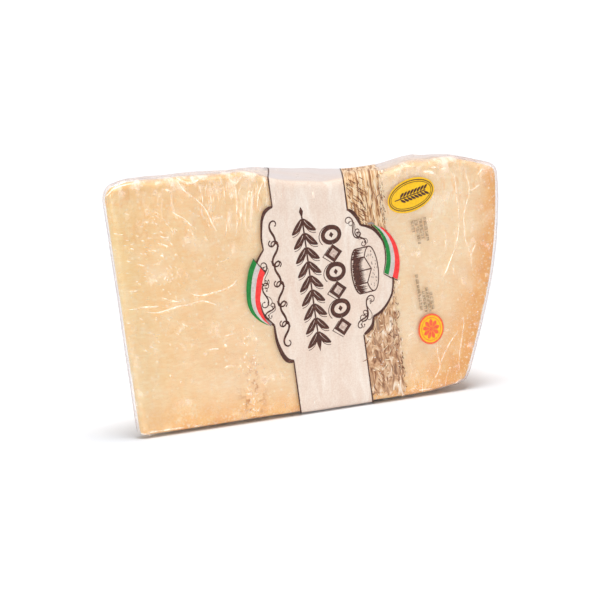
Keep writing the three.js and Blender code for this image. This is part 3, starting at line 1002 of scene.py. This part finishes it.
badge_lines = [
    oval_line(BADGE_AT, (BADGE_RADII[0] - inset, BADGE_RADII[1] - inset), BADGE_TURN, width)
    for inset, width in ((1.1, 0.45), (2.0, 0.3))
]
badge_lines.append(badge_line(*[(a, 0, 0.45) for a in np.linspace(-9.5, 8.5, 14)]))
for pair in range(GRAIN_PAIRS):
    a = -6.2 + pair * GRAIN_PITCH
    for side in (-1, 1):
        badge_lines.append(badge_line(
            (a, side * 0.3, 0.2), (a + 0.9, side * 1.2, 1.15), (a + 1.9, side * 1.9, 1.05),
            (a + 2.7, side * 2.4, 0.1),
        ))
badge_drawing = draw("badge_drawing", badge_lines, INK_LIFT)
finish(badge_drawing, brown)

seal_inks = {"red": ink("seal_red_ink", [(0.35, "#f2542f"), (0.65, "#fb6a3e")]), "yellow": yellow}
for name, colour, radius, lift in (
    ("seal_rim", "red", SEAL_RADIUS, PANEL_LIFT),
    ("seal_ground", "yellow", SEAL_RADIUS - 0.9, PANEL_LIFT + 0.04 * MM),
):
    layer = sheet_between(name, *filled(SEAL_AT, (radius, radius), 0), 10, lift)
    finish(layer, seal_inks[colour])
petals = []
for number in range(PETALS):
    angle = 360 * number / PETALS + 11.46
    petals.append([
        (*turned_about(SEAL_AT, angle, reach, 0), width)
        for reach, width in ((0.9, 0.3), (2.0, 1.3), (3.4, 2.1), (4.3, 1.5), (4.9, 0.2))
    ])
petals += [oval_line(SEAL_AT, (5.5, 5.5), 0, 0.3), oval_line(SEAL_AT, (0.55, 0.55), 0, 0.9, 20)]
rosette = draw("seal_rosette", petals, PANEL_LIFT + 0.08 * MM)
finish(rosette, seal_inks["red"])

# The rows of bars, each from a place (x, z) for a length in mm
BAR_ROWS = [
    ((59.0, 86.2), 12.0), ((56.6, 85.6), 9.5), ((54.2, 85.2), 11.5), ((51.9, 85.0), 5.5),
    ((53.4, 59.4), 18.6), ((57.2, 51.0), 10.4), ((59.2, 52.6), 11.8), ((61.6, 50.2), 9.4),
]
BAR_DIRECTION = Vector((0.15, -1)).normalized()
BAR_WIDTH, BAR_GAP, BAR_LEAST = 1.6, 0.45, 0.6

bars = []
for start, left in BAR_ROWS:
    at = Vector(start)
    while left > BAR_LEAST:
        length = min(left, dice.uniform(0.9, 2.6))
        end = at + BAR_DIRECTION * length
        bars.append([(*at, BAR_WIDTH), (*end, BAR_WIDTH)])
        at, left = end + BAR_DIRECTION * BAR_GAP, left - length - BAR_GAP
small_bars = draw("grey_brown_bars", bars, PANEL_LIFT)
bar_ink = ink("thin_grey_brown_ink", [(0.35, "#9e8262"), (0.5, "#b89a78"), (0.65, "#dac2a2")])
finish(small_bars, bar_ink)


# Folds of the tight film show as pale lines: raised, rounded creases that fade out at both ends, and small
# pale blisters. Each is a thin ridge of film that lies on the film's outer face. Their white is partly the
# milkiness of folded film and partly painted highlight, standing in for the glints of the lamps on the
# creases.
ridge_nib = nib("ridge_nib", [(-0.5, 0), (-0.3, 0.10), (0, 0.15), (0.3, 0.10), (0.5, 0)])
FOLD_LIFT = 0.02 * MM

# On the front, each as (x, z) points in mm and its width at the middle
FRONT_FOLDS = [
    (1.0, [(-63.4, 104.6), (-60.6, 102.0), (-58.1, 99.4), (-56.1, 95.9), (-54.4, 91.9), (-52.3, 88.7)]),
    (0.7, [(-70.8, 112.2), (-69.3, 109.7), (-67.3, 107.2), (-63.7, 104.6)]),
    (0.6, [(-55.0, 107.3), (-54.6, 103.5), (-54.5, 99.6), (-54.0, 94.3)]),
    (0.6, [(-60.3, 109.6), (-59.6, 106.2), (-58.5, 101.4)]),
    (0.8, [(-41.9, 108.4), (-42.0, 100.2), (-42.1, 90.5), (-42.9, 85.7)]),
    (0.6, [(-39.6, 103.4), (-40.0, 89.4)]),
    (0.7, [(-37.4, 104.7), (-38.1, 88.2)]),
    (0.6, [(-35.4, 106.0), (-36.8, 98.8)]),
    (0.8, [(-28.0, 108.9), (-30.4, 104.2), (-31.2, 100.3), (-31.9, 95.5)]),
    (1.4, [(-45.5, 112.0), (-44.0, 110.4), (-41.8, 109.3), (-40.1, 110.7), (-39.0, 111.5)]),
    (1.6, [(-70.7, 113.6), (-68.7, 112.1), (-65.6, 110.7), (-62.3, 111.2), (-60.1, 112.0)]),
    (0.9, [(-49.9, 112.7), (-49.2, 110.3), (-49.0, 108.8)]),
    (0.8, [(-78.0, 94.5), (-76.0, 92.7), (-74.5, 90.7), (-74.1, 87.3)]),
    (1.0, [(-74.6, 99.2), (-71.5, 97.1), (-68.4, 95.4), (-65.9, 92.9), (-62.3, 90.2)]),
    (0.9, [(-82.1, 85.9), (-79.5, 84.9), (-76.4, 83.9)]),
    (0.8, [(-80.6, 88.8), (-78.3, 87.9), (-75.7, 87.9)]),
    (0.8, [(-94.7, 84.3), (-93.1, 84.1)]),
    (0.8, [(-84.9, 83.0), (-82.3, 82.3)]),
    (0.9, [(-91.4, 77.4), (-88.1, 76.2)]),
    (0.6, [(-97.0, 79.4), (-95.0, 78.5)]),
    (0.9, [(-96.4, 66.1), (-92.5, 65.5)]),
    (1.1, [(-78.6, 71.0), (-79.3, 69.2)]),
    (0.8, [(-102.0, 91.5), (-97.9, 90.7)]),
    (0.9, [(-87.1, 95.5), (-85.3, 95.1)]),
    (1.2, [(-91.2, 110.3), (-89.7, 109.7)]),
    (1.7, [(-77.3, 108.9), (-74.7, 107.8), (-74.2, 107.2)]),
    (1.0, [(-65.8, 61.9), (-63.1, 60.9), (-59.9, 60.8), (-55.0, 61.5), (-50.6, 62.1), (-46.1, 63.6),
           (-43.2, 65.8)]),
    (0.7, [(-51.6, 74.8), (-48.8, 75.5), (-46.9, 76.1)]),
    (0.8, [(-104.4, 107.0), (-102.5, 109.5), (-100.4, 110.9), (-96.8, 111.8), (-92.1, 112.4),
           (-86.9, 112.8)]),
    (1.0, [(-97.3, 58.1), (-93.4, 58.0), (-89.8, 58.4), (-86.1, 58.2), (-82.5, 58.0)]),
    (1.1, [(-88.8, 56.4), (-84.7, 55.4), (-81.0, 55.5), (-76.7, 56.3), (-72.4, 57.1), (-68.1, 57.3),
           (-63.8, 58.1), (-61.1, 58.3), (-57.3, 57.2), (-53.6, 55.6)]),
    (0.8, [(-81.2, 61.8), (-76.5, 60.1), (-71.8, 58.7)]),
    (0.7, [(-50.4, 41.3), (-45.4, 42.0)]),
    (0.9, [(-58.9, 36.3), (-56.1, 36.2), (-53.4, 35.8)]),
    (1.5, [(-51.1, 37.7), (-49.5, 36.6)]),
    (0.9, [(-51.6, 27.0), (-48.3, 27.8), (-45.5, 27.0)]),
    (1.3, [(-78.7, 27.3), (-78.2, 26.3)]),
    (1.1, [(-73.5, 24.3), (-73.6, 22.8)]),
    (1.2, [(-84.7, 2.9), (-80.5, 2.8), (-76.2, 2.8), (-72.4, 2.6)]),
    (1.2, [(-67.5, 2.5), (-64.8, 2.6), (-62.7, 2.2)]),
    (0.9, [(-93.4, 2.9), (-91.5, 2.2), (-88.4, 2.9), (-83.7, 2.7)]),
    (1.2, [(-34.9, 38.9), (-33.9, 37.8)]),
    (1.2, [(-36.2, 30.3), (-36.0, 29.3)]),
    (1.1, [(-41.6, 14.1), (-38.3, 13.4)]),
    (1.1, [(-36.1, 13.4), (-34.9, 13.2)]),
    (1.3, [(-37.8, 6.6), (-36.1, 5.1)]),
    (1.1, [(-41.6, 2.9), (-40.5, 2.7)]),
    (1.0, [(-43.0, 9.3), (-40.7, 9.5)]),
    (0.7, [(75.0, 107.6), (76.8, 104.3), (77.5, 99.7), (77.9, 93.7), (78.9, 89.1), (79.0, 82.6), (78.0, 75.3),
           (76.2, 69.9), (74.4, 66.4), (72.6, 62.8), (71.1, 59.7), (69.6, 57.6), (68.0, 53.5)]),
    (0.8, [(83.4, 108.5), (83.9, 103.9), (85.4, 99.2), (85.0, 95.1), (83.5, 90.6), (81.9, 85.1), (82.1, 79.6),
           (82.5, 74.0), (84.1, 70.2), (85.7, 65.4), (85.8, 58.9)]),
    (0.7, [(85.6, 96.9), (88.8, 98.0), (91.7, 99.7)]),
    (1.2, [(90.1, 103.9), (92.4, 106.1), (93.6, 106.9), (95.8, 106.1)]),
    (0.9, [(88.7, 71.2), (86.9, 68.1), (85.7, 65.4)]),
    (1.0, [(74.4, 66.4), (72.6, 62.8), (71.1, 59.7), (69.6, 57.6)]),
    (2.0, [(59.0, 108.0), (62.8, 107.3), (66.6, 106.4)]),
    (1.3, [(63.4, 109.6), (66.7, 109.4)]),
    (1.8, [(69.4, 108.4), (72.2, 108.7)]),
    (0.7, [(47.6, 110.8), (51.4, 110.9), (55.7, 110.0)]),
    (0.6, [(34.6, 108.0), (38.0, 110.4), (41.2, 111.6)]),
    (0.6, [(70.8, 78.7), (71.1, 69.4)]),
    (0.6, [(74.8, 62.2), (75.8, 57.0)]),
    (0.8, [(80.3, 36.3), (80.2, 31.2), (78.9, 24.3), (77.6, 18.3), (77.5, 14.6), (77.6, 10.3)]),
    (1.0, [(77.3, 30.1), (75.0, 27.5), (71.5, 23.7), (69.1, 20.2), (67.9, 18.0), (66.5, 15.4), (65.5, 12.3),
           (63.2, 8.8), (60.8, 5.8)]),
    (0.7, [(47.7, 30.1), (50.5, 31.6), (53.3, 32.7)]),
    (0.6, [(65.4, 25.8), (64.7, 22.2), (65.6, 16.4), (66.1, 11.7)]),
    (1.0, [(47.5, 4.2), (50.8, 4.8), (53.5, 3.7), (58.0, 3.4), (61.3, 3.4)]),
    (0.9, [(74.0, 4.0), (76.0, 4.6), (78.0, 6.0)]),
]
BLISTERS = [  # (x, z) in mm
    (93.3, 75.2), (95.6, 83.9), (96.5, 62.8), (80.0, 66.8), (64.8, 74.1), (80.0, 96.3), (60.9, 55.2),
    (84.6, 47.6), (86.0, 46.0), (88.9, 37.7), (94.5, 51.3), (82.8, 21.5), (71.7, 12.0), (58.8, 12.1),
    (41.9, 18.8), (41.8, 7.7), (41.5, 24.4), (38.4, 27.0), (31.5, 14.5),
]


def fold_line(width, points):
    """A fold with a rounded swelling of its width, which thins out to nothing at both ends."""
    line = smooth_line(points, 5)
    share = np.linspace(0, 1, len(line))
    return [(px, pz, max(0.05, width * math.sin(math.pi * s) ** 0.5)) for (px, pz), s in zip(line, share)]


def short_fold(at, length, lean, width, bow):
    """A fold from a place at an angle up from level, with its middle bowed up a little."""
    px, pz = at
    across, up = length * math.cos(lean), length * math.sin(lean)
    return fold_line(width, [(px, pz), (px + across / 2, pz + up / 2 + bow), (px + across, pz + up)])


folds = [fold_line(width, points) for width, points in FRONT_FOLDS]
for px, pz in BLISTERS:
    size = dice.uniform(0.5, 1.0)
    folds.append(fold_line(size, [(px - size / 2, pz), (px, pz + 0.2), (px + size / 2, pz)]))
for number in range(200):  # dashes near the thin end: level at its edge, and slanting down further in
    at = dice.triangular(-101, -52, -88), dice.triangular(30, 110, 92)
    length, lean = dice.uniform(0.5, 2.6), -0.75 * min(1, max(0, (at[0] + 98) / 22)) + dice.gauss(0, 0.22)
    folds.append(short_fold(at, length, lean, dice.uniform(0.22, 0.55), 0.1))
for number in range(70):  # crumples in the patch left of the band
    at = dice.gauss(-38.5, 2.6), dice.uniform(1.5, 44)
    length, lean = dice.uniform(0.4, 1.6), dice.uniform(0, math.pi)
    folds.append(short_fold(at, length, lean, dice.uniform(0.3, 0.8), 0.2))
for number in range(46):  # glints of loose film on the foot of the engraved strip
    at = on_band(BAND_RIGHT, dice.triangular(66, 103, 92), dice.triangular(0, 13, 9))
    length, lean = dice.uniform(0.3, 1.5), dice.gauss(math.pi / 2, 0.8)
    folds.append(short_fold(at, length, lean, dice.uniform(0.3, 0.9), 0))
for number in range(110):  # fine upright pleats below the top edge, and a few above the base
    px, pz = dice.triangular(-72, 62, -46), 111 - abs(dice.gauss(0, 7))
    if number % 5 == 0:
        px, pz = dice.uniform(-24, 92), dice.uniform(6, 14)
    length, lean = dice.uniform(2, 7), dice.gauss(0, 1.0)
    folds.append(fold_line(dice.uniform(0.2, 0.5), [
        (px, pz), (px + lean / 2 + dice.gauss(0, 0.4), pz - length / 2), (px + lean, max(2, pz - length)),
    ]))
front_folds = draw("film_folds_front", folds, FOLD_LIFT, ridge_nib)

# Film folded on itself: two or three layers with air between, so milky white and shiny, and clear at its
# edges. The white is partly painted highlight, which stands in for the glints of the lamps on the creases.
# Its own
# UV map runs across each fold.
folded = bare(bpy.data.materials.new("folded_film_and_painted_glints"))
uv = add(folded, "UVMap", {"uv_map": "UVMap"})
width_share = add(folded, "SeparateXYZ", {"Vector": uv}).outputs["Y"]
from_edge = add(folded, "Math", {"operation": "PINGPONG", 0: width_share, 1: 0.5})
faded = add(folded, "MapRange", {
    "interpolation_type": "SMOOTHSTEP", "From Min": 0.0, "From Max": 0.4, "Value": from_edge,
})
place = add(folded, "TexCoord").outputs["Object"]
uneven = add(folded, "TexNoise", {"Scale": lumps(2.381), "Detail": 2.0, "Vector": place})
thick = add(folded, "MapRange", {
    "From Min": 0.35, "From Max": 0.68, "To Min": 0.12, "To Max": 0.8, "Value": uneven,
})
milk = add(folded, "Math", {"operation": "MULTIPLY", 0: faded, 1: thick})
outer = add(folded, "BsdfPrincipled", {"Base Color": linear("#fffaf2"), "Roughness": 0.25})
inner = add(folded, "BsdfTranslucent", {"Color": linear("#b8b0a6")})
veil = add(folded, "AddShader", {0: outer, 1: inner})
unfolded = add(folded, "BsdfTransparent")
ridge = add(folded, "MixShader", {0: milk, 1: unfolded, 2: veil})
add(folded, "OutputMaterial", {"Surface": ridge})
finish(front_folds, folded)


def loose_folds(count, spot, lean_spread, lengths):
    """Creases scattered over a face, each through four points, from places that a function picks."""
    made = []
    for number in range(count):
        px, pz = spot()
        length, heading = dice.uniform(*lengths), dice.gauss(math.pi / 2, lean_spread)
        line = [(px, pz)]
        for step in range(3):
            heading += dice.gauss(0, 0.35)
            px, pz = px + length / 3 * math.cos(heading), pz + length / 3 * math.sin(heading)
            line.append((px, pz))
        made.append(fold_line(dice.uniform(0.25, 0.7), line))
    return made


def within(left, right, bottom, top):
    """A function that picks a place in a rectangle of a face, in mm."""
    return lambda: (dice.uniform(left, right), dice.uniform(bottom, top))


def on_top():
    """A place on the top, which widens from the thin end to the rind."""
    x = dice.uniform(-80, 78)
    return x, dice.uniform(-38, -46 + 0.39 * (x + 95))


# The same film lies on the faces that the photo doesn't show, with fewer and plainer folds. Each face is the
# front turned about an axis by an angle.
for face, angle, axis, count, spot, lean_spread, lengths in (
    ("back", 202.5, "Z", 70, within(-88, 84, 8, 88), 0.5, (3, 18)),
    ("rind", 101.25, "Z", 34, within(-50, 14, 8, 88), 0.5, (3, 15)),
    ("thin_end", -78.75, "Z", 24, within(16.5, 20.5, 6, 100), 1.0, (0.6, 2.0)),
    ("top", -90, "X", 46, on_top, 1.2, (2, 9)),
):
    lines = loose_folds(count, spot, lean_spread, lengths)
    turned = Matrix.Rotation(math.radians(angle), 4, axis)
    finish(draw(f"film_folds_{face}", lines, FOLD_LIFT, ridge_nib, turned), folded)


# The form and the pens were only for shaping, so they go.
for helper in (form, flat_nib, ridge_nib):
    bpy.data.objects.remove(helper)
